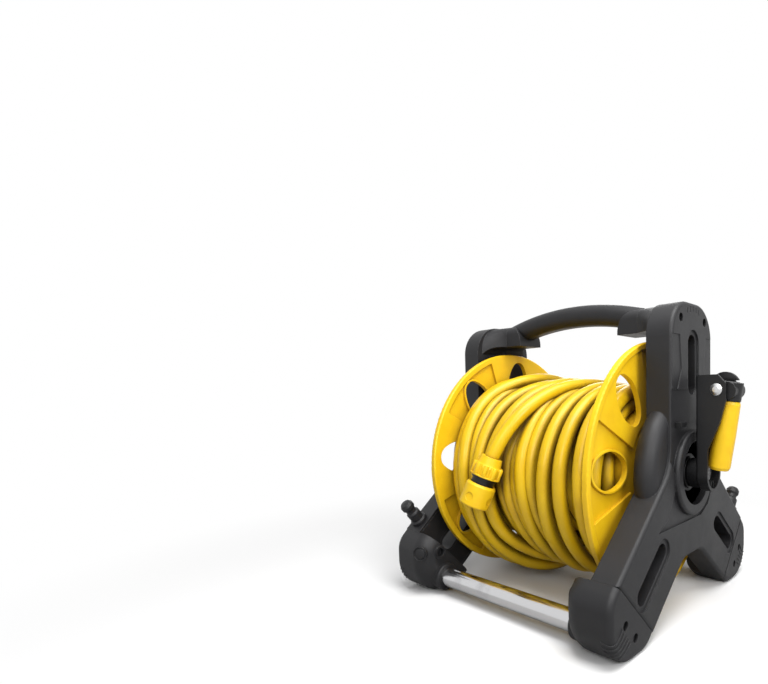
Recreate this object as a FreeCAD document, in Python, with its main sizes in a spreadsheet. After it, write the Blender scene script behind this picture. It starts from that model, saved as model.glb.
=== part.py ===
import FreeCAD, Part
import math
import os
import re

import Sketcher
from FreeCAD import Placement, Rotation, Vector

# A free-standing hose reel: two moulded side frames joined by two tubes and a carry handle,
# a drum wound with hose between them, a folding crank on the right and a water inlet on the left.
# X runs along the drum's axis to the crank, -Y is the front, Z is up from the floor.

SIZES = {
    # side frames, measured in the plane of the frame
    "frame_half": 152.0,
    "mast_depth": 28.0,
    "mast_half": 50.0,
    "mast_round": 37.0,
    "frame_top": 329.0,
    "waist_z": 160.0,
    "waist_round": 50.0,
    "seam_upper_y": 153.0,
    "seam_upper_z": 73.0,
    "seam_lower_y": 91.0,
    "seam_lower_z": 10.0,
    "crotch_half": 22.0,
    "crotch_z": 64.0,
    "crotch_round": 24.0,
    "wall": 3.0,
    "edge_round": 4.0,
    "head_height": 46.0,
    "cover_thick": 2.5,
    "seat_gap": 0.3,
    # hub of the frame
    "hub_z": 151.0,
    "puck_radius": 83.0,
    "puck_round": 12.5,
    "disc_radius": 66.0,
    "disc_set_back": 4.6,
    "dome_height": 2.0,
    "boss_radius": 20.0,
    "bush_radius": 14.0,
    "ring_radius": 45.0,
    "ring_height": 4.0,
    "ring_mouth": 34.0,
    "ring_depth": 5.0,
    # slots through the frame
    "mast_slot_drop": 42.0,
    "mast_slot_length": 45.0,
    "slot_half": 9.0,
    "leg_slot_y": 70.5,
    "leg_slot_z": 81.5,
    "leg_slot_end_y": 109.0,
    "leg_slot_end_z": 51.0,
    "recess_margin": 5.0,
    "recess_depth": 1.8,
    # arms and carry handle
    "arm_reach": 54.0,
    "arm_drop": 1.0,
    "arm_root_half": 44.0,
    "arm_root_height": 42.0,
    "arm_root_round": 32.0,
    "arm_half": 20.5,
    "arm_height": 28.0,
    "arm_round": 11.0,
    "socket_reach": 25.0,
    "mouth_rise": 19.0,
    "mouth_round": 28.0,
    "handle_drop": 11.1,
    "handle_arch": 343.0,
    "handle_section": 12.5,
    "handle_flat": 4.0,
    "handle_seat": 4.0,
    # feet and cross tubes
    "foot_width": 53.0,
    "foot_front": 166.0,
    "foot_front_z": 61.0,
    "foot_heel": 103.0,
    "foot_round": 38.0,
    "foot_shoulder": 24.0,
    "foot_heel_round": 26.0,
    "foot_edge": 6.0,
    "foot_bulge": 20.0,
    "tongue_reach": 28.0,
    "tongue_thick": 12.0,
    "tongue_set_back": 8.0,
    "tube_radius": 11.0,
    "tube_wall": 1.2,
    "tube_y": 134.0,
    "tube_z": 20.0,
    "tube_seat": 22.0,
    "collar_radius": 15.5,
    "collar_reach": 5.0,
    # drum
    "drum_gap": 13.0,
    "flange_radius": 141.0,
    "rim_width": 7.0,
    "rim_thick": 6.0,
    "disc_depth": 6.0,
    "web": 3.0,
    "dish_radius": 62.0,
    "hole_pitch": 100.0,
    "hole_turn": 5.5,
    "hole_long": 31.0,
    "hole_half": 19.3,
    "hole_end": 13.5,
    "hole_collar": 2.3,
    "core_radius": 67.0,
    "core_wall": 4.0,
    "shaft_radius": 9.0,
    "shaft_head": 20.0,
    "running": 0.06,
    # hose
    "hose_radius": 8.0,
    "layer_radius": 104.0,
    "hose_turns": 10.0,
    "winding_gap": 1.2,
    "tail_radius": 121.0,
    # crank and folding grip
    "crank_gap": 10.0,
    "crank_half": 18.0,
    "crank_web": 3.0,
    "crank_length": 87.0,
    "pin_stand": 20.7,
    "pin_radius": 3.0,
    "grip_tilt": 8.9,
    "grip_offset": 8.5,
    "grip_radius": 11.3,
    "grip_start": 10.4,
    "grip_length": 70.6,
    "spindle_radius": 5.0,
    # water inlet
    "inlet_length": 53.0,
    "nipple_radius": 7.6,
    "seal_radius": 1.2,
    # quick connector on the hose end
    "plug_x": -31.6,
    "plug_y": -133.0,
    "plug_z": -9.7,
    "plug_lean": 15.8,
    "plug_tilt": 16.7,
    "plug_half": 28.5,
    "plug_radius": 17.0,
}

# places that follow from the sizes above
TIED = {
    "head_z": "frame_top - head_height",
    "arm_end": "frame_half - arm_reach",
    "arm_top": "frame_top - arm_drop",
    "arm_low": "frame_top - arm_height",
    "handle_half": "arm_end - handle_seat",
    "handle_crown": "frame_top - handle_drop + handle_arch - sqrt(handle_arch^2 - handle_half^2)",
    "mast_slot_high": "frame_top - mast_slot_drop",
    "mast_slot_low": "mast_slot_high - mast_slot_length",
    "foot_inner": "frame_half - foot_width",
    "tube_half": "frame_half - tube_seat",
    "hole_flank": "((hole_long - hole_end)^2 + hole_half^2 - hole_end^2) / (2 * (hole_half - hole_end))",
    "hole_reach": "(hole_long - hole_end) / (hole_flank - hole_end)",
    "hole_rise": "(hole_flank - hole_half) / (hole_flank - hole_end)",
    "flange_inner": "frame_half - mast_depth - dome_height - drum_gap - web",
    "winding_half": "flange_inner - hose_radius - winding_gap",
    "crank_back": "frame_half + crank_gap",
    "pin_x": "crank_back + pin_stand",
    "inlet_reach": "frame_half + inlet_length",
}

doc = FreeCAD.newDocument("hose_reel")
sheet = doc.addObject("Spreadsheet::Sheet", "Sizes")
for row, (alias, number) in enumerate(SIZES.items(), 1):
    sheet.set(f"A{row}", alias)
    sheet.set(f"B{row}", str(number))
    sheet.setAlias(f"B{row}", alias)
doc.recompute()

parts = []


def bound(text):
    """An expression with tied places written out and the sheet's name before each alias."""
    def named(word):
        if word.group() in TIED:
            return f"({bound(TIED[word.group()])})"
        return f"Sizes.{word.group()}" if word.group() in SIZES else word.group()
    return re.sub(r"[a-z_]+", named, str(text))


def size(text):
    """The number that an expression of aliases comes to."""
    return float(sheet.evalExpression(bound(text)))


def finished(node, label):
    node.Label = label
    parts.append(node)
    return node


def new_body(label, on_hub=False):
    body = doc.addObject("PartDesign::Body", label)
    if on_hub:
        body.setExpression("Placement.Base.z", bound("hub_z"))
    return finished(body, label)


def sketch_on(body, role, offset="0"):
    """A sketch on one of the body's own planes, moved along that plane's normal."""
    sketch = body.newObject("Sketcher::SketchObject", f"{body.Name}_sketch")
    support = next(item for item in body.Origin.OriginFeatures if item.Role == role)
    sketch.AttachmentSupport = [(support, "")]
    sketch.MapMode = "FlatFace"
    sketch.setExpression("AttachmentOffset.Base.z", bound(offset))
    return sketch


def pin_point(sketch, geometry, point, x, y):
    """Hold a point of the sketch at two bound distances from the sketch's origin."""
    for kind, text, axis in (("DistanceX", x, -2), ("DistanceY", y, -1)):
        number = size(text)
        if abs(number) < 1e-9:
            sketch.addConstraint(Sketcher.Constraint("PointOnObject", geometry, point, axis))
            continue
        index = sketch.addConstraint(
            Sketcher.Constraint(kind, -1, 1, geometry, point, number))
        if isinstance(text, str):
            sketch.setExpression(f"Constraints[{index}]", bound(text))


def draw_outline(sketch, corners):
    """A closed outline of (x, y) corners.

    A corner with a radius and a turn after it starts an arc to the next one, which goes round
    to the left if the turn is 1 and to the right if it is -1.
    """
    spots = [Vector(size(corner[0]), size(corner[1]), 0) for corner in corners]
    count = len(spots)
    first = sketch.GeometryCount
    ends = []
    for index, corner in enumerate(corners):
        start, end = spots[index], spots[(index + 1) % count]
        turn = corner[3] if len(corner) > 2 else 0
        ends.append((2, 1) if turn < 0 else (1, 2))
        if turn == 0:
            sketch.addGeometry(Part.LineSegment(start, end), False)
            continue
        chord = end - start
        radius = size(corner[2])
        rise = math.sqrt(radius * radius - chord.Length * chord.Length / 4)
        centre = (start + end) * 0.5 + Vector(-chord.y, chord.x, 0).normalize() * rise * turn
        circle = Part.Circle(centre, Vector(0, 0, 1), radius)
        angles = [math.atan2(spot.y - centre.y, spot.x - centre.x) for spot in (start, end)][::turn]
        sketch.addGeometry(Part.ArcOfCircle(circle, angles[0], angles[1]), False)
    for index in range(count):
        after = (index + 1) % count
        sketch.addConstraint(Sketcher.Constraint(
            "Coincident", first + index, ends[index][1], first + after, ends[after][0]))
    for index, corner in enumerate(corners):
        pin_point(sketch, first + index, ends[index][0], corner[0], corner[1])
        if len(corner) > 2:
            hold_radius(sketch, first + index, corner[2])


def hold_radius(sketch, geometry, radius):
    index = sketch.addConstraint(Sketcher.Constraint("Radius", geometry, size(radius)))
    if isinstance(radius, str):
        sketch.setExpression(f"Constraints[{index}]", bound(radius))


def draw_circle(sketch, x, y, radius):
    spot = Vector(size(x), size(y), 0)
    circle = sketch.addGeometry(Part.Circle(spot, Vector(0, 0, 1), size(radius)), False)
    pin_point(sketch, circle, 3, x, y)
    hold_radius(sketch, circle, radius)


def draw_slot(sketch, start, end, radius):
    """A slot with round ends between two centres."""
    a, b = (Vector(size(x), size(y), 0) for x, y in (start, end))
    r = size(radius)
    turn = math.atan2(b.y - a.y, b.x - a.x)
    side = Vector(-math.sin(turn), math.cos(turn), 0) * r
    up = Vector(0, 0, 1)
    quarter = math.pi / 2
    line_one = sketch.addGeometry(Part.LineSegment(a - side, b - side), False)
    arc_end = sketch.addGeometry(
        Part.ArcOfCircle(Part.Circle(b, up, r), turn - quarter, turn + quarter), False)
    line_two = sketch.addGeometry(Part.LineSegment(b + side, a + side), False)
    arc_start = sketch.addGeometry(
        Part.ArcOfCircle(Part.Circle(a, up, r), turn + quarter, turn + 3 * quarter), False)
    chain = (line_one, arc_end, line_two, arc_start)
    for index in range(4):
        sketch.addConstraint(
            Sketcher.Constraint("Tangent", chain[index], 2, chain[(index + 1) % 4], 1))
    for arc, spot in ((arc_end, end), (arc_start, start)):
        pin_point(sketch, arc, 3, *spot)
        hold_radius(sketch, arc, radius)


def pad(body, sketch, length, towards=1):
    feature = body.newObject("PartDesign::Pad", f"{body.Name}_pad")
    feature.Profile = sketch
    feature.setExpression("Length", bound(length))
    feature.Reversed = towards < 0
    doc.recompute()
    return feature


def cut(body, sketch, depth=None, towards=-1):
    """A pocket along the sketch's normal, or through the whole body both ways."""
    before = body.Shape.Volume
    feature = body.newObject("PartDesign::Pocket", f"{body.Name}_pocket")
    feature.Profile = sketch
    if depth is None:
        feature.Type = "ThroughAll"
        feature.SideType = "Symmetric"
    else:
        feature.setExpression("Length", bound(depth))
        feature.Reversed = towards > 0
    doc.recompute()
    if body.Shape.Volume > before - 0.1:
        raise RuntimeError(f"{body.Label}: {feature.Name} cuts nothing")
    return feature


def add_axis(sketch, start, end):
    """A construction line for a revolution to turn about."""
    a, b = (Vector(size(x), size(y), 0) for x, y in (start, end))
    line = sketch.addGeometry(Part.LineSegment(a, b), True)
    pin_point(sketch, line, 1, *start)
    pin_point(sketch, line, 2, *end)


def revolve(body, sketch, axis="H_Axis", angle="360", groove=False):
    kind = "PartDesign::Groove" if groove else "PartDesign::Revolution"
    feature = body.newObject(kind, f"{body.Name}_turn")
    feature.Profile = sketch
    feature.ReferenceAxis = (sketch, [axis])
    feature.setExpression("Angle", bound(angle))
    feature.Midplane = angle != "360"
    doc.recompute()
    return feature


def pattern(body, feature, role, count):
    """Repeat a feature evenly round one of the body's own axes."""
    turned = body.newObject("PartDesign::PolarPattern", f"{body.Name}_pattern")
    turned.Originals = [feature]
    turned.Axis = (next(i for i in body.Origin.OriginFeatures if i.Role == role), [""])
    turned.Angle = 360
    turned.Occurrences = count
    body.Tip = turned
    doc.recompute()
    return turned


def round_edges(body, radius, wanted):
    """Fillet every edge of the body's tip that the test picks out."""
    base = body.Tip
    names = [f"Edge{i}" for i, edge in enumerate(base.Shape.Edges, 1) if wanted(edge)]
    if not names:
        raise RuntimeError(f"{body.Label}: no edge to round")
    feature = body.newObject("PartDesign::Fillet", f"{body.Name}_fillet")
    feature.Base = (base, names)
    feature.setExpression("Radius", bound(radius))
    doc.recompute()
    return feature


def along_x_at(spots):
    """A test for edges that run along X through one of the given places in the Y-Z plane."""
    def wanted(edge):
        ends = [vertex.Point for vertex in edge.Vertexes]
        return len(ends) == 2 and any(
            all(math.hypot(end.y - y, end.z - z) < 0.01 for end in ends) for y, z in spots)
    return wanted


def on_plane_x(x, radius=None):
    """A test for edges that lie in a plane across X, with a given radius if one is named."""
    def wanted(edge):
        box = edge.BoundBox
        flat = abs(box.XMin - x) < 0.01 and abs(box.XMax - x) < 0.01
        if radius is None or not flat:
            return flat
        return isinstance(edge.Curve, Part.Circle) and abs(edge.Curve.Radius - radius) < 0.01
    return wanted


def inset(corners, distance):
    """A polygon moved inward by an equal distance on every side."""
    count = len(corners)
    area = sum(corners[i][0] * corners[(i + 1) % count][1]
               - corners[(i + 1) % count][0] * corners[i][1] for i in range(count))
    sense = 1 if area > 0 else -1
    moved = []
    for i in range(count):
        lines = []
        for a, b in ((corners[i - 1], corners[i]), (corners[i], corners[(i + 1) % count])):
            length = math.hypot(b[0] - a[0], b[1] - a[1])
            normal = (-(b[1] - a[1]) / length * sense, (b[0] - a[0]) / length * sense)
            lines.append((*normal, normal[0] * a[0] + normal[1] * a[1] + distance))
        (p, q, r), (s, t, u) = lines
        det = p * t - q * s
        moved.append(((r * t - q * u) / det, (p * u - r * s) / det))
    return moved


def mirrored(half):
    """A closed outline from its half at +Y, listed from the top down."""
    return half + [(f"-{y}", z) for y, z in reversed(half)]


FRAME_HALF = [
    ("mast_half", "frame_top"),
    ("mast_half", "waist_z"),
    ("seam_upper_y", "seam_upper_z"),
    ("seam_lower_y", "seam_lower_z"),
    ("crotch_half", "crotch_z"),
]
MAST_SLOT = ((0, "mast_slot_low"), (0, "mast_slot_high"))
LEG_SLOTS = [
    ((f"{sign} * leg_slot_y", "leg_slot_z"), (f"{sign} * leg_slot_end_y", "leg_slot_end_z"))
    for sign in (1, -1)
]
SLOTS = [MAST_SLOT] + LEG_SLOTS
COVER_SCREWS = [(sign * size(y), size(z)) for sign in (1, -1) for y, z in (
    ("mast_half - 18", "mast_slot_low - 13"), ("leg_slot_y + 28", "leg_slot_z + 13"))]
MAST_SCREWS = [(sign * size("mast_half - 20.5"), size("frame_top - 18")) for sign in (1, -1)]
FOOT_SCREWS = [(size("foot_front - 24"), size("tube_z + 16")),
               (size("foot_front - 41"), size("tube_z - 1"))]


def hollow_outline(distance):
    """The frame's outline below the solid head, moved inward."""
    half = [(size(y), size(z)) for y, z in FRAME_HALF]
    half[0] = (half[0][0], size("head_z + wall"))
    whole = half + [(-y, z) for y, z in reversed(half)]
    return inset(whole, distance)


def tongue_outline(sign, gap):
    """The flat tongue on a leg's end, wider by a gap where its pocket is asked for."""
    upper = (size("seam_upper_y"), size("seam_upper_z"))
    lower = (size("seam_lower_y"), size("seam_lower_z"))
    length = math.hypot(upper[0] - lower[0], upper[1] - lower[1])
    across = ((upper[0] - lower[0]) / length, (upper[1] - lower[1]) / length)
    outward = (across[1], -across[0])
    reach = size("tongue_reach") + gap
    corners = []
    for share, run in ((0.22, -2), (0.22, reach), (0.78, reach), (0.78, -2)):
        step = share * length + (gap if share > 0.5 else -gap)
        corners.append((sign * (lower[0] + across[0] * step + outward[0] * run),
                        lower[1] + across[1] * step + outward[1] * run))
    return corners


def arm_section(half, low, high, rounding):
    """The arm's section: flat below, with two rounded upper corners."""
    return [(f"-({half})", low), (half, low), (half, f"{high} - ({rounding})", rounding, 1),
            (f"{half} - ({rounding})", high), (f"{rounding} - ({half})", high, rounding, 1),
            (f"-({half})", f"{high} - ({rounding})")]


def arm_stage(share, sag):
    """A section on the way from the mast to the arm's end, as the arm narrows and flattens."""
    def mixed(root, tip, by):
        return f"{tip} + {by} * ({root} - {tip})"
    return arm_section(mixed("arm_root_half", "arm_half", share),
                       f"frame_top - ({mixed('arm_root_height', 'arm_height', sag)})", "arm_top",
                       mixed("arm_root_round", "arm_round", share))


def puck_section(side):
    """Half the section of the round hub, whose rim is rounded on both sides."""
    near = "frame_half - mast_depth - dome_height"
    far = "frame_half - disc_set_back"
    top, shoulder = "hub_z + puck_radius", "hub_z + puck_radius - puck_round"
    corners = [(near, "hub_z"), (near, shoulder, "puck_round", -side),
               (f"{near} + puck_round", top), (f"{far} - puck_round", top, "puck_round", -side),
               (far, shoulder), (far, "hub_z")]
    return [(f"{side} * ({corner[0]})", *corner[1:]) for corner in corners]


def make_frame(name, side):
    """One side frame: an open shell with a solid head that bends inward to the handle."""
    body = new_body(f"{name}_frame")
    inner = f"{side} * (frame_half - mast_depth)"
    outer = f"{side} * frame_half"

    outline = sketch_on(body, "YZ_Plane", inner)
    draw_outline(outline, mirrored(FRAME_HALF))
    pad(body, outline, "mast_depth", side)
    for radius, (y, z) in (("mast_round", FRAME_HALF[0]), ("waist_round", FRAME_HALF[1]),
                           ("crotch_round", FRAME_HALF[4])):
        spots = [(sign * size(y), size(z)) for sign in (1, -1)]
        round_edges(body, radius, along_x_at(spots))
    round_edges(body, "edge_round", on_plane_x(size(outer)))
    puck = sketch_on(body, "XZ_Plane")
    draw_outline(puck, puck_section(side))
    add_axis(puck, (0, "hub_z"), (30.0, "hub_z"))
    revolve(body, puck, "Axis0")

    # the head flows inward as a narrowing arm, hollowed where it leaves the mast
    stages = []
    for reach, share, sag in ((1.0, 1.0, 1.0), (0.75, 0.72, 0.3), (0.45, 0.35, 0.0), (0.0, 0.0, 0.0)):
        stage = sketch_on(body, "YZ_Plane",
                          f"{side} * (arm_end + {reach} * (arm_reach - mast_depth + wall))")
        draw_outline(stage, arm_stage(share, sag))
        stages.append(stage)
    arm = body.newObject("PartDesign::AdditiveLoft", f"{body.Name}_arm")
    arm.Profile = stages[0]
    arm.Sections = stages[1:]
    doc.recompute()

    # the shell is hollow from its inner side, with walls round the slots
    hollow = sketch_on(body, "YZ_Plane", inner)
    draw_outline(hollow, hollow_outline(size("wall")))
    cut(body, hollow, "mast_depth - wall", side)
    hub = sketch_on(body, "YZ_Plane", f"{inner} - {side} * dome_height")
    draw_circle(hub, 0, "hub_z", "disc_radius")
    cut(body, hub, "dome_height + mast_depth - disc_set_back - wall", side)
    walls = sketch_on(body, "YZ_Plane", inner)
    for start, end in SLOTS:
        draw_slot(walls, start, end, "slot_half + wall")
    draw_circle(walls, 0, "hub_z", "boss_radius")
    pad(body, walls, "mast_depth - 1", side)
    posts = sketch_on(body, "YZ_Plane", f"{inner} + {side} * cover_thick")
    for y, z in COVER_SCREWS:
        draw_circle(posts, y, z, 5.0)
    pad(body, posts, "mast_depth - cover_thick - 1", side)

    # a raised ring stands round the hub's mouth, in a sunk panel
    panel = sketch_on(body, "YZ_Plane", outer)
    draw_outline(panel, mirrored([
        ("mast_half - 16", "hub_z + 88"), ("mast_half - 6", "hub_z + 75"),
        ("mast_half - 7", "waist_z + 24"), ("mast_half - 1", "waist_z + 4"),
        ("mast_half + 12", "waist_z - 15"), ("mast_half - 10", "hub_z - 40"),
        ("mast_half - 30", "hub_z - 49")]))
    cut(body, panel, "recess_depth", -side)
    ring = sketch_on(body, "YZ_Plane", f"{side} * (frame_half - recess_depth)")
    draw_circle(ring, 0, "hub_z", "ring_radius")
    pad(body, ring, "ring_height + recess_depth", side)
    round_edges(body, "0.8 * ring_height",
                on_plane_x(side * size("frame_half + ring_height"), size("ring_radius")))
    mouth = sketch_on(body, "YZ_Plane", f"{side} * (frame_half + ring_height)")
    draw_circle(mouth, 0, "hub_z", "ring_mouth")
    cut(body, mouth, "ring_height + ring_depth", -side)
    bore = sketch_on(body, "YZ_Plane", outer)
    draw_circle(bore, 0, "hub_z", "bush_radius")
    cut(body, bore)

    recess = sketch_on(body, "YZ_Plane", outer)
    for start, end in SLOTS:
        draw_slot(recess, start, end, "slot_half + recess_margin")
    cut(body, recess, "recess_depth", -side)
    through = sketch_on(body, "YZ_Plane", outer)
    for start, end in SLOTS:
        draw_slot(through, start, end, "slot_half")
    cut(body, through)

    # counterbored screw holes in the head, plain ones in the posts
    counterbores = sketch_on(body, "YZ_Plane", outer)
    for y, z in MAST_SCREWS:
        draw_circle(counterbores, y, z, 4.6)
    cut(body, counterbores, "12", -side)
    shanks = sketch_on(body, "YZ_Plane", outer)
    for y, z in MAST_SCREWS:
        draw_circle(shanks, y, z, 2.0)
    cut(body, shanks, "mast_depth", -side)
    holes = sketch_on(body, "YZ_Plane", inner)
    for y, z in COVER_SCREWS:
        draw_circle(holes, y, z, 1.6)
    cut(body, holes, "mast_depth - wall", side)

    # shallow side strips below the cap and five slits above the screws
    strips = sketch_on(body, "YZ_Plane", outer)
    for sign in (1, -1):
        draw_outline(strips, [(f"{sign} * (mast_half - {near})", z) for near, z in (
            (18, "frame_top - 35"), (-1, "frame_top - 35"), (-1, "hub_z + 77"),
            (4, "hub_z + 77"), (14, "hub_z + 90"), (22, "hub_z + 108"))])
    cut(body, strips, "0.8", -side)
    slits = sketch_on(body, "YZ_Plane", outer)
    for step in range(-2, 3):
        middle = size("frame_top - 7") - 0.5 * step * step
        draw_outline(slits, [(7.0 * step - 0.7, middle - 3.0), (7.0 * step + 0.7, middle - 3.0),
                             (7.0 * step + 0.7, middle + 3.0), (7.0 * step - 0.7, middle + 3.0)])
    cut(body, slits, "1.2", -side)

    # a tongue on each leg's end goes into the foot
    tongues = sketch_on(body, "YZ_Plane", f"{side} * (frame_half - tongue_set_back)")
    for sign in (1, -1):
        draw_outline(tongues, tongue_outline(sign, 0.0))
    pad(body, tongues, "tongue_thick", -side)
    screws = sketch_on(body, "YZ_Plane", outer)
    for y, z in FOOT_SCREWS:
        for sign in (1, -1):
            draw_circle(screws, sign * y, z, 2.0)
    cut(body, screws, "tongue_set_back + tongue_thick + 1", -side)
    return body


def make_cover(name, side):
    """The plate that closes the frame's inner side, with the bearing's disc on it."""
    body = new_body(f"{name}_bearing_cover")
    inner = f"{side} * (frame_half - mast_depth)"
    plate = sketch_on(body, "YZ_Plane", inner)
    draw_outline(plate, hollow_outline(size("wall + seat_gap")))
    pad(body, plate, "cover_thick", side)
    dome = sketch_on(body, "YZ_Plane", f"{inner} + {side} * cover_thick")
    draw_circle(dome, 0, "hub_z", "disc_radius - seat_gap")
    pad(body, dome, "dome_height + cover_thick", -side)
    face = side * size("frame_half - mast_depth - dome_height")
    round_edges(body, "0.5 * dome_height", on_plane_x(face, size("disc_radius - seat_gap")))
    openings = sketch_on(body, "YZ_Plane", inner)
    for start, end in SLOTS:
        draw_slot(openings, start, end, "slot_half + wall + seat_gap")
    cut(body, openings)
    boss = sketch_on(body, "YZ_Plane", inner)
    draw_circle(boss, 0, "hub_z", "boss_radius + seat_gap")
    cut(body, boss, "cover_thick + 1", side)
    bore = sketch_on(body, "YZ_Plane", inner)
    draw_circle(bore, 0, "hub_z", "bush_radius")
    cut(body, bore)
    holes = sketch_on(body, "YZ_Plane", inner)
    for y, z in COVER_SCREWS:
        draw_circle(holes, y, z, 1.6)
    cut(body, holes)
    return body


def make_foot(name, side, sign):
    """A foot that takes the leg's tongue and the end of a cross tube."""
    body = new_body(name)
    inner = f"{side} * foot_inner"
    outer = f"{side} * frame_half"
    outline = sketch_on(body, "YZ_Plane", inner)
    draw_outline(outline, [
        (f"{sign} * seam_upper_y", "seam_upper_z"), (f"{sign} * foot_front", "foot_front_z"),
        (f"{sign} * foot_front", 0), (f"{sign} * foot_heel", 0),
        (f"{sign} * seam_lower_y", "seam_lower_z")])
    pad(body, outline, "frame_half - foot_inner", side)
    front = sign * size("foot_front")
    round_edges(body, "foot_round", along_x_at([(front, 0.0)]))
    round_edges(body, "foot_shoulder", along_x_at([(front, size("foot_front_z"))]))
    round_edges(body, "foot_heel_round", along_x_at([(sign * size("foot_heel"), 0.0)]))

    def rim(x):
        """A test for the edges round the foot's side at x, apart from the seam with the leg."""
        upper = Vector(0, sign * size("seam_upper_y"), size("seam_upper_z"))
        lower = Vector(0, sign * size("seam_lower_y"), size("seam_lower_z"))

        def wanted(edge):
            middle = edge.BoundBox.Center
            on_seam = abs((upper.y - lower.y) * (middle.z - lower.z)
                          - (upper.z - lower.z) * (middle.y - lower.y)) < 1.0
            return on_plane_x(x)(edge) and not on_seam
        return wanted
    round_edges(body, "foot_edge", rim(size(outer)))
    round_edges(body, "foot_bulge", rim(size(inner)))

    # the tube's collar and a blind screw boss stand out of the rounded inner side
    collar = sketch_on(body, "YZ_Plane", f"{side} * (foot_inner + 0.7 * foot_bulge)")
    draw_circle(collar, f"{sign} * tube_y", "tube_z", "collar_radius")
    pad(body, collar, "collar_reach + 0.7 * foot_bulge", -side)
    round_edges(body, "2.5", on_plane_x(side * size("foot_inner - collar_reach")))
    boss = sketch_on(body, "YZ_Plane", f"{side} * (foot_inner + 0.5 * foot_bulge)")
    draw_circle(boss, f"{sign} * (tube_y + 8)", "tube_z + 31", 7.5)
    pad(body, boss, "0.5 * foot_bulge + 2", -side)
    cup = sketch_on(body, "YZ_Plane", f"{side} * (foot_inner - 2)")
    draw_circle(cup, f"{sign} * (tube_y + 8)", "tube_z + 31", 5.0)
    cut(body, cup, "6", side)
    socket = sketch_on(body, "YZ_Plane", f"{side} * (foot_inner - collar_reach)")
    draw_circle(socket, f"{sign} * tube_y", "tube_z", "tube_radius")
    cut(body, socket, "tube_half - foot_inner + collar_reach", side)
    tongue = sketch_on(body, "YZ_Plane", f"{side} * (frame_half - tongue_set_back + seat_gap)")
    draw_outline(tongue, tongue_outline(sign, size("seat_gap")))
    cut(body, tongue, "tongue_thick + 2 * seat_gap", -side)
    heads = sketch_on(body, "YZ_Plane", outer)
    for y, z in FOOT_SCREWS:
        draw_circle(heads, sign * y, z, 4.2)
    cut(body, heads, "5", -side)
    shanks = sketch_on(body, "YZ_Plane", outer)
    for y, z in FOOT_SCREWS:
        draw_circle(shanks, sign * y, z, 2.0)
    cut(body, shanks, "tongue_set_back + 1", -side)
    return body


def handle_section(sketch, gap):
    """The handle's oval section and the level line that its arch turns about."""
    draw_slot(sketch, ("-handle_flat", "handle_crown"), ("handle_flat", "handle_crown"),
              f"handle_section + {gap}")
    add_axis(sketch, (-30.0, "handle_crown - handle_arch"), (30.0, "handle_crown - handle_arch"))


def make_handle():
    body = new_body("carry_handle")
    section = sketch_on(body, "YZ_Plane")
    handle_section(section, 0)
    revolve(body, section, "Axis0", "2 * asin(handle_half / handle_arch)")
    return body


def make_socket(name, side):
    """The cup on an arm's end, its mouth cut slanting, that the handle sits in."""
    body = new_body(f"{name}_handle_cup")
    root = sketch_on(body, "YZ_Plane", f"{side} * arm_end")
    draw_outline(root, arm_section("arm_half", "arm_low", "arm_top", "arm_round"))
    pad(body, root, "socket_reach", -side)
    mouth = sketch_on(body, "XZ_Plane")
    lip = "arm_end - socket_reach"
    draw_outline(mouth, [
        (f"{side} * ({lip} - 5)", "arm_low - 5"), (f"{side} * ({lip})", "arm_low - 5"),
        (f"{side} * ({lip})", "arm_low + 3", "mouth_round", -side),
        (f"{side} * ({lip} + mouth_rise)", "frame_top + 1"),
        (f"{side} * ({lip} - 5)", "frame_top + 1")])
    cut(body, mouth)
    seat = sketch_on(body, "YZ_Plane")
    handle_section(seat, "0.05")
    revolve(body, seat, "Axis0", "360", groove=True)
    return body


def make_tube(name, sign):
    outer = doc.addObject("Part::Cylinder", f"{name}_outside")
    inner = doc.addObject("Part::Cylinder", f"{name}_bore")
    outer.setExpression("Radius", bound("tube_radius"))
    inner.setExpression("Radius", bound("tube_radius - tube_wall"))
    for cylinder in (outer, inner):
        cylinder.setExpression("Height", bound("2 * tube_half"))
        cylinder.Placement.Rotation = Rotation(Vector(0, 1, 0), 90)
        cylinder.setExpression("Placement.Base.x", bound("-tube_half"))
        cylinder.setExpression("Placement.Base.y", bound(f"{sign} * tube_y"))
        cylinder.setExpression("Placement.Base.z", bound("tube_z"))
    tube = doc.addObject("Part::Cut", name)
    tube.Base = outer
    tube.Tool = inner
    return finished(tube, name)


def make_screws(name, spots, head, shank):
    """Like screws as one node: each has its head's outer face at a place, and goes in along X."""
    head_radius, head_height = head
    shank_radius, shank_length = shank
    screws = []
    for index, (x, y, z, into) in enumerate(spots, 1):
        pieces = []
        for kind, radius, start, length in (("head", head_radius, 0.0, head_height),
                                            ("shank", shank_radius, head_height, shank_length)):
            piece = doc.addObject("Part::Cylinder", f"{name}_{kind}_{index}")
            piece.Radius = radius
            piece.Height = length
            piece.Placement = Placement(Vector(x + into * start, y, z),
                                        Rotation(Vector(0, 1, 0), 90 * into))
            pieces.append(piece)
        screw = doc.addObject("Part::Fuse", f"{name}_{index}")
        screw.Base, screw.Tool = pieces
        screws.append(screw)
    group = doc.addObject("Part::Compound", name)
    group.Links = screws
    return finished(group, name)


def make_turned(name, profile, on_hub=True):
    """A piece turned about the X axis from a half section of (x, radius) corners."""
    body = new_body(name, on_hub)
    section = sketch_on(body, "XZ_Plane")
    draw_outline(section, profile)
    revolve(body, section)
    return body


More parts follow.
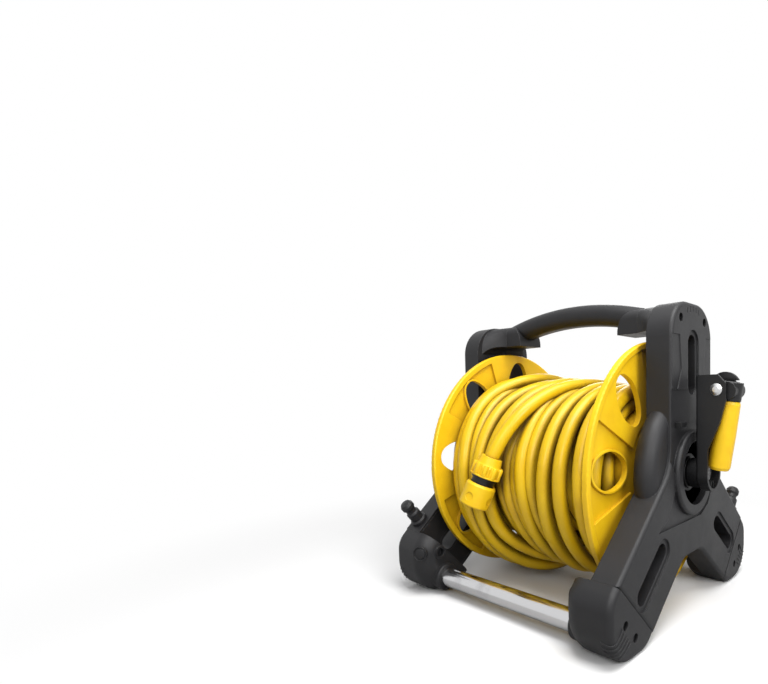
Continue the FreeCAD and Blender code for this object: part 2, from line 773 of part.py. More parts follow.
def draw_sector(sketch, centre, spread, low, high):
    """A ring sector between two radii, centred on an angle in degrees."""
    inner, outer = size(low), size(high)
    first, last = (math.radians(centre + sign * spread) for sign in (-1, 1))
    up = Vector(0, 0, 1)

    def spot(radius, angle):
        return Vector(radius * math.cos(angle), radius * math.sin(angle), 0)
    lines = [Part.LineSegment(spot(inner, first), spot(outer, first)),
             Part.ArcOfCircle(Part.Circle(Vector(), up, outer), first, last),
             Part.LineSegment(spot(outer, last), spot(inner, last)),
             Part.ArcOfCircle(Part.Circle(Vector(), up, inner), first, last)]
    ids = [sketch.addGeometry(line, False) for line in lines]
    for one, end, other, start in ((0, 2, 1, 1), (1, 2, 2, 1), (2, 2, 3, 2), (3, 1, 0, 1)):
        sketch.addConstraint(Sketcher.Constraint("Coincident", ids[one], end, ids[other], start))
    for arc, radius in ((ids[1], high), (ids[3], low)):
        sketch.addConstraint(Sketcher.Constraint("Coincident", arc, 3, -1, 1))
        hold_radius(sketch, arc, radius)


def draw_oval(sketch, degrees, grow):
    """A flange's hole of four arcs, long along the radius; the angle counts from the back."""
    across, up = (f"{way}({degrees} - hole_turn)" for way in ("cos", "sin"))
    along = f"(hole_long - hole_end + (hole_end + {grow}) * hole_reach)"
    half = f"((hole_end + {grow}) * hole_rise)"
    corners = []
    for far, side, radius in ((1, -1, "hole_end"), (1, 1, "hole_flank"),
                              (-1, 1, "hole_end"), (-1, -1, "hole_flank")):
        out = f"(hole_pitch + {far} * {along})"
        aside = f"({side} * {half})"
        corners.append((f"{out} * {across} - {aside} * {up}", f"{out} * {up} + {aside} * {across}",
                        f"{radius} + {grow}", 1))
    draw_outline(sketch, corners)


def make_flange(name, side):
    """A drum flange: eight sectors set alternately back and forward, each with a collared hole."""
    outside = "flange_inner + disc_depth"
    rim = "flange_radius - rim_thick"
    body = make_turned(f"{name}_flange", [(f"{side} * ({x})", r) for x, r in (
        ("flange_inner", "shaft_radius"), ("flange_inner", "flange_radius"),
        ("flange_inner + rim_width", "flange_radius"), ("flange_inner + rim_width", rim),
        (outside, rim), (outside, "dish_radius"), ("flange_inner + web", "dish_radius"),
        ("flange_inner + web", "shaft_radius"))])
    round_edges(body, "1.5", lambda edge: isinstance(edge.Curve, Part.Circle)
                and abs(edge.Curve.Radius - size("flange_radius")) < 0.01)
    front = sketch_on(body, "YZ_Plane", f"{side} * ({outside})")
    draw_sector(front, size("180 - hole_turn"), 21.5, "dish_radius - 4", rim)
    draw_oval(front, 180, "hole_collar")
    low = cut(body, front, "disc_depth - web", -side)
    pattern(body, low, "X_Axis", 4)
    back = sketch_on(body, "YZ_Plane", f"{side} * flange_inner")
    draw_sector(back, size("135 - hole_turn"), 21.5, "dish_radius + web", f"{rim} - 1")
    draw_oval(back, 135, "hole_collar")
    high = cut(body, back, "disc_depth - web", side)
    pattern(body, high, "X_Axis", 4)
    hole = sketch_on(body, "YZ_Plane", f"{side} * ({outside} + 20)")
    draw_oval(hole, 180, 0)
    through = cut(body, hole, "60", -side)
    pattern(body, through, "X_Axis", 8)
    screws = sketch_on(body, "YZ_Plane", f"{side} * ({outside})")
    draw_circle(screws, 0, "core_radius - 19", 2.0)
    screw = cut(body, screws, "disc_depth + 1", -side)
    pattern(body, screw, "X_Axis", 3)
    return body


def make_core():
    """The drum's hollow core with its two end plates."""
    half = "flange_inner"
    body = make_turned("drum_core", [
        (f"-{half}", "shaft_head + 1"), (f"-{half}", "core_radius"), (half, "core_radius"),
        (half, "shaft_head + 1"), (f"{half} - core_wall", "shaft_head + 1"),
        (f"{half} - core_wall", "core_radius - core_wall"),
        (f"core_wall - {half}", "core_radius - core_wall"),
        (f"core_wall - {half}", "shaft_head + 1")])
    for side in (1, -1):
        holes = sketch_on(body, "YZ_Plane", f"{side} * flange_inner")
        draw_circle(holes, 0, "core_radius - 19", 2.0)
        hole = cut(body, holes, "core_wall + 1", -side)
        pattern(body, hole, "X_Axis", 3)
    outlet = sketch_on(body, "XY_Plane", "0.5 * core_radius")
    draw_circle(outlet, "14 - flange_inner + core_wall", 0, 7.0)
    cut(body, outlet, "core_radius", 1)
    return body


def make_outlet():
    """The elbow inside the core that leads the water from the spindle to the hose."""
    turn = size("14 - flange_inner + core_wall")
    start = -size("flange_inner - core_wall")
    along = doc.addObject("Part::Cylinder", "outlet_along")
    along.Radius = 7.0
    along.Height = turn - start
    along.Placement = Placement(Vector(start, 0, size("hub_z")), Rotation(Vector(0, 1, 0), 90))
    bend = doc.addObject("Part::Sphere", "outlet_bend")
    bend.Radius = 7.0
    bend.Placement.Base = Vector(turn, 0, size("hub_z"))
    up = doc.addObject("Part::Cylinder", "outlet_up")
    up.Radius = 7.0
    up.setExpression("Height", bound("core_radius"))
    up.Placement.Base = Vector(turn, 0, size("hub_z"))
    elbow = doc.addObject("Part::MultiFuse", "outlet_elbow")
    elbow.Shapes = [along, bend, up]
    return finished(elbow, "outlet_elbow")


def make_hose_core():
    """The wound hose's inner layers as one plain ring, with the step the outer layer starts at."""
    pieces = []
    band = 2 * size("hose_radius")
    low = size("layer_radius - hose_radius") - 0.5
    for label, radius, start, length, angle in (
            ("inner_layers", low, size("0.3 - flange_inner"), size("2 * flange_inner") - 0.6, 360),
            ("first_turn", size("layer_radius + hose_radius"), size("0.6 - flange_inner"), band, 40)):
        ring = doc.addObject("Part::Cylinder", label)
        ring.Radius = radius
        ring.Height = length
        ring.Angle = angle
        turn = Rotation(Vector(1, 0, 0), -angle) * Rotation(Vector(0, 1, 0), 90)
        ring.Placement = Placement(Vector(start, 0, size("hub_z")), turn)
        pieces.append(ring)
    whole = doc.addObject("Part::Fuse", "hose_ring")
    whole.Base, whole.Tool = pieces
    bore = doc.addObject("Part::Cylinder", "hose_ring_bore")
    bore.setExpression("Radius", bound("core_radius + 0.2"))
    bore.setExpression("Height", bound("2 * flange_inner"))
    bore.Placement = Placement(Vector(-size("flange_inner"), 0, size("hub_z")),
                               Rotation(Vector(0, 1, 0), 90))
    core = doc.addObject("Part::Cut", "hose_core")
    core.Base = whole
    core.Tool = bore
    return finished(core, "hose_core")


def biarc(p0, t0, p1, t1):
    """Two arcs that join two points with given directions."""
    v = p1 - p0
    t = t0 + t1
    k = 2 * (1 - t0.dot(t1))
    if k < 1e-9:
        d = v.dot(v) / (2 * v.dot(t))
    else:
        d = (-v.dot(t) + math.sqrt(v.dot(t) ** 2 + k * v.dot(v))) / k
    q0 = p0 + t0 * d
    q1 = p1 - t1 * d
    joint = (q0 + q1) * 0.5
    edges = []
    for start, knee, end in ((p0, q0, joint), (joint, q1, p1)):
        bend = (knee - start).normalize() + (knee - end).normalize()
        if bend.Length < 1e-6:
            edges.append(Part.makeLine(start, end))
            continue
        chord = end - start
        half = chord.Length / 2
        leg = (knee - start).Length
        height = math.sqrt(max(leg * leg - half * half, 0.0))
        rise = half * (leg - half) / height
        middle = (start + end) * 0.5 + bend.normalize() * rise
        edges.append(Part.Arc(start, middle, end).toShape())
    return edges


def plug_direction():
    """Along the connector to the hose: it leans to the right and stands off the turns below."""
    lean, tilt = (math.radians(size(name)) for name in ("plug_lean", "plug_tilt"))
    return Vector(math.tan(lean), math.tan(tilt), 1).normalize()


def plug_centre():
    return Vector(size("plug_x"), size("plug_y"), size("hub_z + plug_z"))


def hose_nodes():
    """Places and directions along the outer layer and the loose end that goes to the connector."""
    hub = size("hub_z")
    layer = size("layer_radius")
    half = size("winding_half")
    turns = size("hose_turns")

    def spot(x, radius, angle):
        return Vector(x, -radius * math.cos(angle), hub + radius * math.sin(angle))

    def wound(share):
        """A place on the layer: turns lie uneven and slightly aslant between the flanges."""
        angle = -math.pi / 2 - share * turns * 2 * math.pi
        x = half * (2 * share - 1) + 0.6 * math.sin(6 * math.pi * share)
        x -= 5.0 * math.sin(math.pi * share) * math.sin(angle)
        return spot(x, layer, angle)

    nodes = []
    steps = int(turns * 4)
    tiny = 1e-5
    for step in range(1, steps + 1):
        share = step / steps
        ahead = wound(share + tiny) - wound(share - tiny)
        nodes.append((wound(share), ahead.normalize()))
    start = spot(-half, layer, -math.pi / 2)
    forward = Vector(0, 1, 0)
    nodes.insert(0, (start + forward * 2 * size("hose_radius"), forward))

    # the loose end climbs over the layer and comes over the top to the connector
    tail = size("tail_radius")
    route = [(half, layer + 7.5, -135.0), (half - 2.0, tail - 2.0, -182.0),
             (half - 8.0, tail, -225.0), (0.72 * half, tail, -262.0), (0.41 * half, tail, -293.0),
             (0.12 * half, tail, -318.0)]
    spots = [spot(x, radius, math.radians(angle)) for x, radius, angle in route]
    direction = plug_direction() * -1
    end = plug_centre() - direction * size("plug_half")
    final = end - direction * 2 * size("hose_radius")
    chain = [nodes[-1][0]] + spots + [final]
    for before, here, after in zip(chain, spots, chain[2:]):
        one = (here - before).Length
        two = (after - here).Length
        ahead = (here - before) * (two / one) + (after - here) * (one / two)
        nodes.append((here, ahead.normalize()))
    nodes.append((final, direction))
    return start, nodes, end


def make_winding():
    """One unbroken tube: the outer layer of turns and the loose end."""
    start, nodes, end = hose_nodes()
    edges = [Part.makeLine(start, nodes[0][0])]
    for (p0, t0), (p1, t1) in zip(nodes, nodes[1:]):
        edges += biarc(p0, t0, p1, t1)
    edges.append(Part.makeLine(nodes[-1][0], end))
    spine = Part.Wire(edges)
    radius = size("hose_radius")
    ring = Part.Wire([Part.makeCircle(radius, start, nodes[0][1])])
    shell = spine.makePipeShell([ring], True, False)
    winding = doc.addObject("Part::Feature", "hose_winding")
    winding.Shape = Part.Solid(shell) if shell.ShapeType == "Shell" else shell
    length = spine.Length
    print("hose on the outer layer, mm:", round(length))
    print("volume against section times length:",
          round(winding.Shape.Volume / (math.pi * radius * radius * length), 4))
    bends = [edge.Curve.Radius for edge in edges if isinstance(edge.Curve, Part.Circle)]
    print("tightest bend of the hose, mm:", round(min(bends), 1))
    print("least gap of the hose to itself, mm:", round(self_gap(spine), 2))
    return finished(winding, "hose_winding")


def self_gap(spine):
    """The least distance between stretches of the tube that are far apart along it."""
    step = 3.0
    points = spine.discretize(Distance=step)
    apart = int(10 * size("hose_radius") / step)
    cell = 20.0
    grid = {}
    for index, p in enumerate(points):
        grid.setdefault((p.x // cell, p.y // cell, p.z // cell), []).append(index)
    least = 1e9
    for (i, j, k), members in grid.items():
        near = [n for a in (-1, 0, 1) for b in (-1, 0, 1) for c in (-1, 0, 1)
                for n in grid.get((i + a, j + b, k + c), [])]
        for one in members:
            for other in near:
                if other - one > apart:
                    least = min(least, (points[one] - points[other]).Length)
    return least - 2 * size("hose_radius")


def make_crank():
    """The crank: a channel that opens outward, its cheeks deep at the grip's hinge."""
    body = new_body("crank_arm", True)
    back = sketch_on(body, "YZ_Plane", "crank_back")
    draw_slot(back, (0, 0), (0, "crank_length + 20"), "crank_half")
    pad(body, back, "34")
    channel = sketch_on(body, "YZ_Plane", "crank_back + crank_web")
    draw_slot(channel, (0, 0), (0, "crank_length + 60"), "crank_half - crank_web")
    cut(body, channel, "60", 1)
    cheeks = sketch_on(body, "XZ_Plane")
    low, high = "crank_back + 12", "crank_back + 30"
    draw_outline(cheeks, [
        (low, "-2 * crank_half"), (low, "0.3 * crank_length"),
        ("crank_back + 24", "0.62 * crank_length"), (high, "0.88 * crank_length"),
        (high, "crank_length + 6"), ("crank_back + 22", "crank_length + 15"),
        ("crank_back - 5", "crank_length + 15"), ("crank_back - 5", "crank_length + 60"),
        ("crank_back + 60", "crank_length + 60"), ("crank_back + 60", "-2 * crank_half")])
    cut(body, cheeks)
    round_edges(body, "2", on_plane_x(size("crank_back")))
    ribs = sketch_on(body, "YZ_Plane", "crank_back + crank_web - 1")
    for y in (-6.0, 0.0, 6.0):
        draw_outline(ribs, [(y - 0.9, -16.5), (y + 0.9, -16.5), (y + 0.9, -8.0), (y - 0.9, -8.0)])
    pad(body, ribs, "7")
    hub = sketch_on(body, "YZ_Plane", "crank_back")
    draw_circle(hub, 0, 0, "crank_half - 2.5")
    draw_circle(hub, 0, 0, "shaft_radius + running")
    pad(body, hub, "crank_gap + ring_depth - 4", -1)
    bore = sketch_on(body, "YZ_Plane", "crank_back")
    draw_circle(bore, 0, 0, "shaft_radius - 2.5")
    cut(body, bore, "crank_web + 2", 1)
    pin = sketch_on(body, "XZ_Plane")
    draw_circle(pin, "pin_x", "crank_length", "pin_radius")
    cut(body, pin)
    return body


def make_hinge_pin():
    """The pin through the crank's cheeks, with a domed head at the front."""
    body = new_body("hinge_pin", True)
    section = sketch_on(body, "XY_Plane", "crank_length")
    face = "-crank_half"
    draw_outline(section, [
        ("pin_x", "crank_half"), ("pin_x + pin_radius", "crank_half"),
        ("pin_x + pin_radius", face), ("pin_x + 2 * pin_radius", face),
        ("pin_x + 2 * pin_radius", f"{face} - 1"), ("pin_x + pin_radius", f"{face} - 2.4"),
        ("pin_x", f"{face} - 2.8")])
    add_axis(section, ("pin_x", -30.0), ("pin_x", 30.0))
    revolve(body, section, "Axis0")
    return body


def on_grip(body):
    """Put a body in the folded grip's own frame: pin at the origin, Z along the grip."""
    body.Placement.Rotation = Rotation(Vector(0, 1, 0), 180 + size("grip_tilt"))
    body.setExpression("Placement.Base.x", bound("pin_x"))
    body.setExpression("Placement.Base.z", bound("hub_z + crank_length"))


def make_knuckle():
    """The grip's hinged knuckle with its ribbed collar and the spindle the sleeve turns on."""
    body = new_body("grip_knuckle")
    on_grip(body)
    ear = sketch_on(body, "XZ_Plane", "-(crank_half - crank_web - 1)")
    draw_slot(ear, ("-grip_offset", 0), (0, 0), "3 * pin_radius")
    pad(body, ear, "2 * (crank_half - crank_web - 1)")
    collar = sketch_on(body, "XY_Plane", "-grip_offset")
    draw_circle(collar, "-grip_offset", 0, "grip_radius - 0.7")
    pad(body, collar, "grip_offset + grip_start - 0.4")
    spindle = sketch_on(body, "XY_Plane")
    draw_circle(spindle, "-grip_offset", 0, "spindle_radius")
    pad(body, spindle, "grip_start + grip_length - 6")
    pin = sketch_on(body, "XZ_Plane")
    draw_circle(pin, 0, 0, "pin_radius + running")
    cut(body, pin)
    return body


def make_sleeve():
    """The turning grip sleeve, slightly fuller in the middle, with a recess for its screw."""
    body = new_body("grip_sleeve")
    on_grip(body)
    section = sketch_on(body, "XZ_Plane")
    axis = "-grip_offset"
    end = "grip_start + grip_length"
    draw_outline(section, [
        (f"{axis} - spindle_radius - running", "grip_start"),
        (f"{axis} - grip_radius + 1.4", "grip_start"),
        (f"{axis} - grip_radius + 0.4", "grip_start + 3"),
        (f"{axis} - grip_radius", "grip_start + 0.5 * grip_length"),
        (f"{axis} - grip_radius + 0.3", f"{end} - 3"), (f"{axis} - grip_radius + 1.8", end),
        (f"{axis} - 7.4", end), (f"{axis} - 7.4", f"{end} - 6.4"),
        (f"{axis} - spindle_radius - running", f"{end} - 6.4")])
    add_axis(section, (axis, 0), (axis, 60.0))
    revolve(body, section, "Axis0")
    return body


def make_grip_screw():
    body = new_body("grip_screw")
    on_grip(body)
    head = sketch_on(body, "XY_Plane", "grip_start + grip_length - 6")
    draw_circle(head, "-grip_offset", 0, 7.0)
    pad(body, head, "3")
    return body


def on_plug(body):
    """Put a body in the connector's own frame: its middle at the origin, X towards the hose."""
    body.Placement.Rotation = Rotation(Vector(1, 0, 0), plug_direction())
    body.setExpression("Placement.Base.x", bound("plug_x"))
    body.setExpression("Placement.Base.y", bound("plug_y"))
    body.setExpression("Placement.Base.z", bound("hub_z + plug_z"))


def make_plug():
    """The quick connector: clamping nut, black body and the sleeve that slides back."""
    back = "plug_half"
    nut = make_turned("connector_nut", [
        ("5.5", 8.2), ("5.5", "plug_radius - 2.2"), (f"{back} - 12", "plug_radius - 1.4"),
        (f"{back} - 8", "plug_radius - 3.5"), (back, "plug_radius - 5"), (back, 0),
        (f"{back} - 5", 0), (f"{back} - 5", 8.2)], False)
    on_plug(nut)
    groove = sketch_on(nut, "YZ_Plane", "5.5")
    draw_circle(groove, 0, "plug_radius - 1.4", 1.3)
    pattern(nut, cut(nut, groove, f"{back} - 13", 1), "X_Axis", 16)
    core = make_turned("connector_body", [
        (f"1.5 - {back}", 9.0), (f"1.5 - {back}", 12.6), ("3", 12.6), ("3", "plug_radius - 2.8"),
        ("5.5", "plug_radius - 2.8"), ("5.5", 8.2), (f"{back} - 5", 8.2), (f"{back} - 5", 0),
        ("-4", 0), ("-4", 9.0)], False)
    on_plug(core)
    sleeve = make_turned("connector_sleeve", [
        (f"-{back}", 13.2), (f"-{back}", "plug_radius - 1.5"), (f"1.5 - {back}", "plug_radius"),
        ("-5", "plug_radius"), ("-3.5", "plug_radius - 1"), ("-2.5", "plug_radius - 1.6"),
        ("-2.5", 13.2)], False)
    on_plug(sleeve)
    dimple = sketch_on(sleeve, "XZ_Plane", "plug_radius + 1")
    draw_circle(dimple, -18.0, 0, 4.5)
    pattern(sleeve, cut(sleeve, dimple, "2.2", -1), "X_Axis", 4)


def make_nipple(name, side, sign):
    """A stub on a leg's upper edge on which the hose end is parked."""
    body = new_body(name)
    upper = Vector(0, size("seam_upper_y"), size("seam_upper_z"))
    waist = Vector(0, size("mast_half"), size("waist_z"))
    along = (upper - waist).normalize()
    foot = upper - along * 15.5
    normal = Vector(0, -along.z, along.y)
    place = Vector(side * size("frame_half - 0.5 * mast_depth"), sign * foot.y, foot.z)
    body.Placement = Placement(place, Rotation(Vector(1, 0, 0), Vector(0, sign * normal.y, normal.z)))
    section = sketch_on(body, "XZ_Plane")
    draw_outline(section, [
        (0, 0), (0, 10.0), (4.0, 10.0), (5.5, 8.0), (16.0, 8.0), (18.0, 6.2), (22.0, 6.2),
        (24.5, 7.9), (29.0, 7.9), (32.0, 6.0), (33.0, 0)])
    revolve(body, section)
    return body


make_frame("left", -1)
make_frame("right", 1)
make_cover("left", -1)
make_cover("right", 1)
for name, side, sign in (("front_left", -1, -1), ("front_right", 1, -1),
                         ("rear_left", -1, 1), ("rear_right", 1, 1)):
    make_foot(f"{name}_foot", side, sign)
make_tube("front_tube", -1)
make_tube("rear_tube", 1)
make_socket("left", -1)
make_socket("right", 1)
make_handle()
make_nipple("left_parking_nipple", -1, -1)
make_nipple("right_parking_nipple", 1, 1)

frame_x = size("frame_half")
inner_x = size("frame_half - mast_depth")
make_screws("mast_screws", [(side * (frame_x - 8.5), y, z, -side)
                            for side in (1, -1) for y, z in MAST_SCREWS], (4.2, 3.5), (2.0, 14.0))
make_screws("foot_screws", [(side * (frame_x - 2.0), sign * y, z, -side) for side in (1, -1)
                            for sign in (1, -1) for y, z in FOOT_SCREWS], (3.9, 3.0), (2.0, 14.0))
make_screws("cover_screws", [(side * (inner_x - 2.0), y, z, side) for side in (1, -1)
                             for y, z in COVER_SCREWS], (4.0, 2.0), (1.6, 16.0))

dome = "frame_half - mast_depth - dome_height"
floor = "frame_half - ring_depth"
for name, side in (("left", -1), ("right", 1)):
    make_turned(f"{name}_bush", [(f"{side} * ({x})", r) for x, r in (
        (dome, "shaft_radius + running"), (dome, "bush_radius"), (floor, "bush_radius"),
        (floor, "bush_radius + 3"), (f"{floor} + 2.5", "bush_radius + 3"),
        (f"{floor} + 2.5", "shaft_radius + running"))])

rests = []
for sign in (1, -1):
    rest = doc.addObject("Part::Box", f"crank_rest_{'front' if sign < 0 else 'rear'}")
    rest.setExpression("Length", bound("recess_depth + 5.2"))
    rest.Width = 13.0
    rest.Height = 5.0
    rest.Placement.Base = Vector(size("frame_half - recess_depth"),
                                 sign * size("mast_half - 15.5") - 6.5, size("hub_z + 50"))
    rests.append(rest)
group = doc.addObject("Part::Compound", "crank_rests")
group.Links = rests
finished(group, "crank_rests")

make_flange("left", -1)
make_flange("right", 1)
make_core()
make_outlet()
seat = size("flange_inner + web")
angles = [math.radians(90 + 120 * step) for step in range(3)]
pitch = size("core_radius - 19")
make_screws("flange_screws", [
    (side * (seat + 2.5), pitch * math.cos(a), size("hub_z") + pitch * math.sin(a), -side)
    for side in (1, -1) for a in angles], (4.5, 2.5), (2.0, 6.5))

head = "flange_inner - core_wall"
shaft_end = "crank_back"
make_turned("drive_shaft", [
    (head, 0), (head, "shaft_head"), ("flange_inner", "shaft_head"), ("flange_inner", "shaft_radius"),
    (shaft_end, "shaft_radius"), (shaft_end, "shaft_radius - 2.5"),
    (f"{shaft_end} + crank_web", "shaft_radius - 2.5"), (f"{shaft_end} + crank_web", 2.5),
    (f"{shaft_end} - 10", 2.5), (f"{shaft_end} - 10", 0)])
make_screws("crank_screw", [(size("crank_back + crank_web") + 2.5, 0.0, size("hub_z"), -1)],
            (8.0, 2.5), (2.5, 12.0))
spindle_end = "-(frame_half + 12)"
make_turned("water_spindle", [
    (f"-({head})", 5.5), (f"-({head})", "shaft_head"), ("-flange_inner", "shaft_head"),
    ("-flange_inner", "shaft_radius"), (spindle_end, "shaft_radius"), (spindle_end, 5.5)])

seals = []
for index, back_off in enumerate((3.0, 7.0), 1):
    ring = doc.addObject("Part::Torus", f"spindle_seal_{index}")
    ring.setExpression("Radius1", bound("shaft_radius + seal_radius + 0.02"))
    ring.setExpression("Radius2", bound("seal_radius"))
    ring.Placement = Placement(Vector(-(frame_x + 12.0 - back_off), 0, size("hub_z")),
                               Rotation(Vector(0, 1, 0), 90))
    seals.append(ring)
group = doc.addObject("Part::Compound", "spindle_seals")
group.Links = seals
finished(group, "spindle_seals")

# the inlet sits in the left hub's mouth and takes a hose coupling on its nipple
cap = "-(frame_half - ring_depth + 2.5)"
tip = "-inlet_reach"
make_turned("inlet_nipple", [
    (cap, "shaft_radius + 2 * seal_radius + 0.1"), (cap, "ring_mouth - 8"), (f"{cap} - 4", "ring_mouth - 8"),
    (f"{cap} - 4", 15.0), ("-(frame_half + 15)", 15.0), ("-(frame_half + 17)", 12.5),
    (f"{tip} + 26", 12.5), (f"{tip} + 24", 9.5), (f"{tip} + 17", 9.5), (f"{tip} + 15", 6.2),
    (f"{tip} + 11", 6.2), (f"{tip} + 9.5", "nipple_radius"), (tip, "nipple_radius"), (tip, 4.5),
    ("-(frame_half + 13)", 4.5), ("-(frame_half + 13)", "shaft_radius + 2 * seal_radius + 0.1")])
make_hose_core()
make_winding()
make_crank()
make_hinge_pin()
make_knuckle()
make_sleeve()
make_grip_screw()
make_plug()

doc.recompute()
for item in doc.Objects:
    if "Invalid" in item.State or "Error" in item.State:
        raise RuntimeError(f"{item.Label} is in error: {item.State}")
os.makedirs("parts", exist_ok=True)
for node in parts:
    shape = node.Shape
    if shape.isNull() or not shape.isValid():
        raise RuntimeError(f"{node.Label} has no sound shape")
    shape.exportStep(f"parts/{node.Label}.step")
print(len(parts), "sub-parts")
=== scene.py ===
import math

import bmesh
import bpy
from mathutils import Matrix, Quaternion, Vector


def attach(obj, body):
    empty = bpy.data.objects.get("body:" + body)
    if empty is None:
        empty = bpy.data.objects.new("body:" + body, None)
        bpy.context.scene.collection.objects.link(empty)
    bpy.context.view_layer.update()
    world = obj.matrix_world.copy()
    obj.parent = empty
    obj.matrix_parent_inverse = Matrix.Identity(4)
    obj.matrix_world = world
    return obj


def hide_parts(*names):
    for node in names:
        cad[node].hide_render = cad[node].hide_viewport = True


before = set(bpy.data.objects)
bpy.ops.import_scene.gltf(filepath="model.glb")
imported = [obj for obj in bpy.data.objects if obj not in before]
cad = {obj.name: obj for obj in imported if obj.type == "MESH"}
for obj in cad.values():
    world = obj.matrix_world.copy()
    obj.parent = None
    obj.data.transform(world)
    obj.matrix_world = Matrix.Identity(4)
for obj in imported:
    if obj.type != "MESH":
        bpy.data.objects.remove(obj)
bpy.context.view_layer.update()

# A hose reel on two black side frames. X runs along the drum's axis to the crank,
# -Y is the front and Z is up, in metres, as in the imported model.
HUB_Z = 0.151
HOSE_RADIUS = 0.008
FULL_TURN = 360.0
UPRIGHT = math.radians(90.0)


class Wire:
    """A shader socket. Sums of wires and numbers add Math nodes to the same material."""

    def __init__(self, tree, socket=None):
        self.tree = tree
        self.socket = socket

    def node(self, kind, settings=None, inputs=None, output=0):
        """Add a node: its settings first, then the values or wires of its sockets."""
        made = self.tree.nodes.new(kind)
        for name, value in (settings or {}).items():
            setattr(made, name, value)
        for name, value in (inputs or {}).items():
            plug(made.inputs[name], value)
        return Wire(self.tree, made.outputs[output])

    def math(self, operation, first, second):
        return self.node("ShaderNodeMath", {"operation": operation}, {0: first, 1: second})

    def __add__(self, other):
        return self.math("ADD", self, other)

    def __radd__(self, other):
        return self.math("ADD", other, self)

    def __sub__(self, other):
        return self.math("SUBTRACT", self, other)

    def __rsub__(self, other):
        return self.math("SUBTRACT", other, self)

    def __mul__(self, other):
        return self.math("MULTIPLY", self, other)

    def __rmul__(self, other):
        return self.math("MULTIPLY", other, self)

    def between(self, low, high):
        """0 below low, 1 above high, smooth between them."""
        return self.node("ShaderNodeMapRange", {"interpolation_type": "SMOOTHSTEP"}, {
            "Value": self, "From Min": low, "From Max": high, "To Min": 0.0, "To Max": 1.0})

    def spot(self):
        """Where a point lies on its object, in metres."""
        return self.node("ShaderNodeTexCoord", output="Object")

    def noise(self, scale, detail=3.0, roughness=0.5, spot=None):
        """Noise in object space, or over another spot; scale is in waves per metre."""
        return self.node("ShaderNodeTexNoise", None, {
            "Vector": spot or self.spot(), "Scale": scale, "Detail": detail,
            "Roughness": roughness})

    def blend(self, share, first, second):
        """A colour between two others. The Mix node's colour sockets go by number."""
        return self.node("ShaderNodeMix", {"data_type": "RGBA"},
                         {0: share, 6: first, 7: second}, output=2)

    def crevice(self, reach):
        """How shut in each place is by what is near it, from 0 in the open to 1."""
        return 1.0 - self.node("ShaderNodeAmbientOcclusion", {"samples": 6},
                               {"Distance": reach}, output="AO")

    def edges(self, radius):
        """Normals rounded over the edges, and how much each place is an edge."""
        soft = self.node("ShaderNodeBevel", {"samples": 4}, {"Radius": radius})
        true = self.node("ShaderNodeNewGeometry", output="Normal")
        along = self.node("ShaderNodeVectorMath", {"operation": "DOT_PRODUCT"},
                          {0: soft, 1: true}, output="Value")
        return soft, (1.0 - along).between(0.02, 0.22)

    def bump(self, strength, distance, over=None):
        """Normals bent by this wire as a height, over other normals if there are any."""
        inputs = {"Strength": strength, "Distance": distance, "Height": self}
        if over:
            inputs["Normal"] = over
        return self.node("ShaderNodeBump", None, inputs)

    def rays(self, kind):
        """1 for rays of one kind, such as Camera or Glossy, and 0 for all others."""
        return self.node("ShaderNodeLightPath", output=f"Is {kind} Ray")

    def in_sight(self):
        """1 for what the camera sees, straight or mirrored in the part."""
        return self.math("MAXIMUM", self.rays("Camera"), self.rays("Glossy"))


def plug(socket, value):
    """Link a wire to a socket, or set the socket to a plain value."""
    if isinstance(value, Wire):
        value.tree.links.new(value.socket, socket)
    else:
        socket.default_value = value


def rgb(red, green, blue):
    """An opaque colour."""
    return (red, green, blue, 1.0)


def grey(value):
    """An opaque grey, from 0 for black to 1 for white."""
    return rgb(value, value, value)


def new_finish(name):
    """A material with an empty Principled shader, and the wire that adds nodes to it."""
    material = bpy.data.materials.new(name)
    material.use_nodes = True
    tree = material.node_tree
    shader = next(node for node in tree.nodes if node.type == "BSDF_PRINCIPLED")
    return material, Wire(tree), shader


def feed(shader, **sockets):
    """Set or link the shader's sockets; an underscore stands for a space in a name."""
    for name, value in sockets.items():
        plug(shader.inputs[name.replace("_", " ")], value)


PLASTIC_SHINE = 0.35


def moulded_plastic(name, dark, light, worn, painted_shade_colour, rough, grain,
                    round_over=0.0012, reach=0.012):
    """Moulded plastic: cloudy colour, a fine spark-eroded grain, rubbed edges, dull corners with
    painted shade.

    Clouds run from dark to light, rubbed edges to worn, and places that other faces come
    within reach of to a painted shade colour. Edges are shaded as if rounded over by that
    radius.
    """
    material, wire, shader = new_finish(name)
    cloud = wire.noise(scale=26.0, detail=4.0, roughness=0.6).between(0.3, 0.72)
    fine = wire.noise(scale=2600.0, detail=2.0)
    scuff = wire.noise(scale=140.0, detail=6.0, roughness=0.7).between(0.58, 0.8)
    soft, edge = wire.edges(round_over)
    rubbed = edge * (0.35 + 0.65 * wire.noise(scale=60.0))
    # painted shade: where other faces come near, the colour darkens as if in their shadow, and
    # the finish dulls
    painted_shade = wire.crevice(reach).between(0.25, 0.85)
    base = wire.blend(painted_shade * 0.7, wire.blend(cloud, dark, light), painted_shade_colour)
    feed(shader, Base_Color=wire.blend(rubbed * 0.5, base, worn),
         Roughness=rough + 0.10 * cloud - 0.08 * scuff - 0.06 * rubbed + 0.1 * painted_shade,
         Normal=fine.bump(strength=grain, distance=0.0002, over=soft),
         Specular_IOR_Level=PLASTIC_SHINE)
    return material


